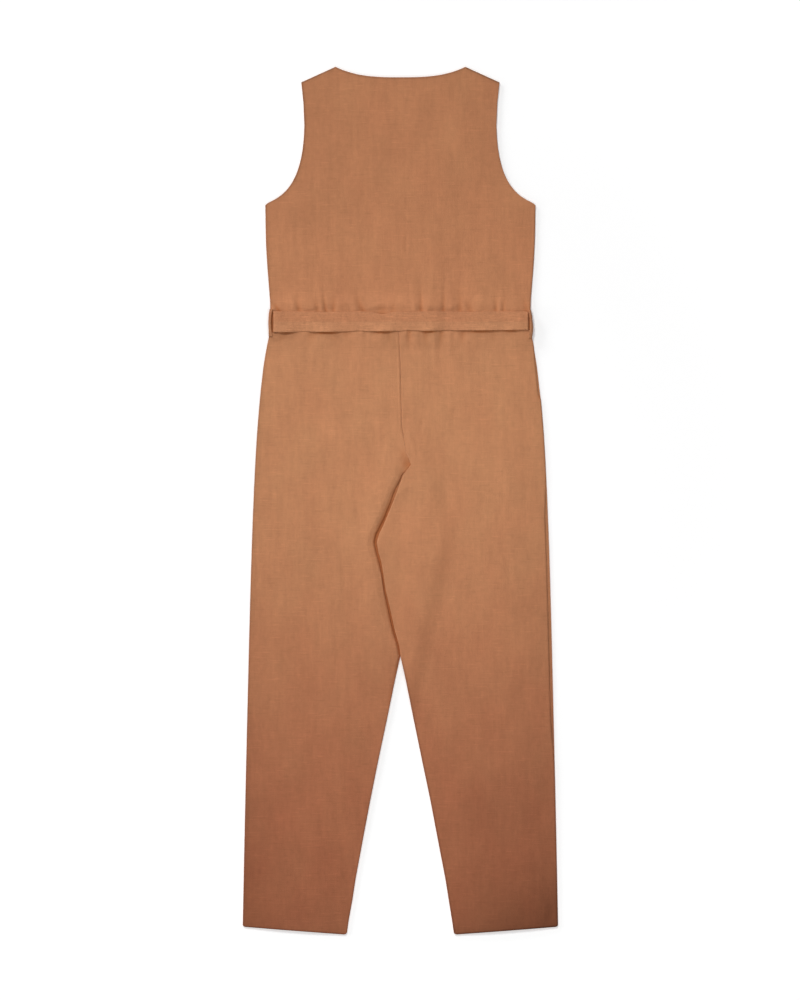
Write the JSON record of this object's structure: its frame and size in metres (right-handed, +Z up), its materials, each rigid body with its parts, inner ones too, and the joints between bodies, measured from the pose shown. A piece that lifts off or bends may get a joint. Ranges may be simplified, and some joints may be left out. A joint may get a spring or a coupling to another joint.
{
  "type": "sleeveless belted jumpsuit laid flat",
  "caption": "Sleeveless jumpsuit in plain linen, laid flat back up, with a wide neck, a belt through side loops and tapered trouser legs that overlap at the crotch.",
  "frame": {"origin": "middle of the laid-out garment, on the surface that it lies on", "axes": "+X across to the picture's right, +Y from the hems to the neck, +Z up out of the surface, which the back of the garment faces"},
  "size_m": [0.509, 1.4, 0.0091],
  "materials": {
    "linen": "matt plain-weave linen with slubs, terracotta brown",
    "belt_linen": "the same matt linen, pressed flat, with its slubs along the belt"
  },
  "bodies": {
    "root": {"back_bodice": "linen", "front_bodice_left": "linen", "front_bodice_right": "linen", "back_leg_left": "linen", "back_leg_right": "linen", "front_leg_left": "linen", "front_leg_right": "linen", "belt": "belt_linen", "belt_loop_left": "belt_linen", "belt_loop_right": "belt_linen"}
  },
  "joints": []
}
